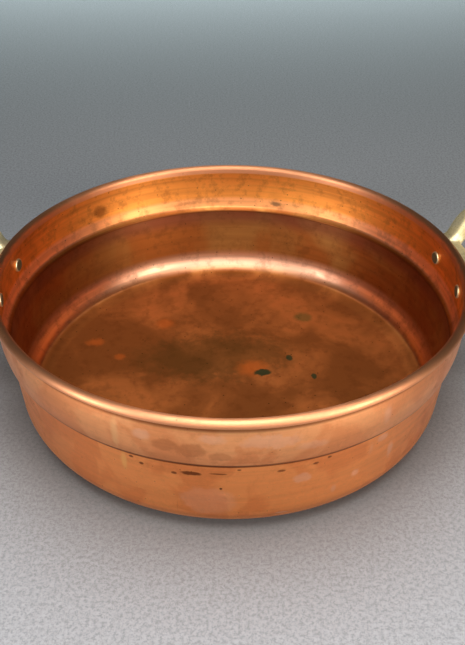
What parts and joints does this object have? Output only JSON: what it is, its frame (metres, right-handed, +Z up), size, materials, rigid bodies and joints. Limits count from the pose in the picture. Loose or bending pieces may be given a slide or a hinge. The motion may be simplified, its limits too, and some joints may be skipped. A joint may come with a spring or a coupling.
{
  "type": "two-handled copper pan",
  "caption": "Shallow round copper pan with a stepped side, a wired rolled rim and riveted cast brass loop handles at its sides.",
  "frame": {"origin": "on the floor plane, at the centre of the pan's underside", "axes": "+Z up along the pan's axis, +X to the right, the side of one handle, +Y to the rear"},
  "size_m": [0.3726, 0.28, 0.106],
  "materials": {
    "copper": "spun copper sheet, satin, with light heat and water tarnish",
    "rim_wire": "plain drawn iron wire, hidden in the rolled rim",
    "cast_brass": "sand-cast brass, pale and finely pitted, dull polish",
    "rivet": "hammered brass rivet, darkened in the middle"
  },
  "bodies": {
    "root": {"pan_body": "copper", "rim_wire": "rim_wire", "handle_left": "cast_brass", "handle_right": "cast_brass", "rivet_left_front": "rivet", "rivet_left_rear": "rivet", "rivet_right_front": "rivet", "rivet_right_rear": "rivet"}
  },
  "joints": []
}
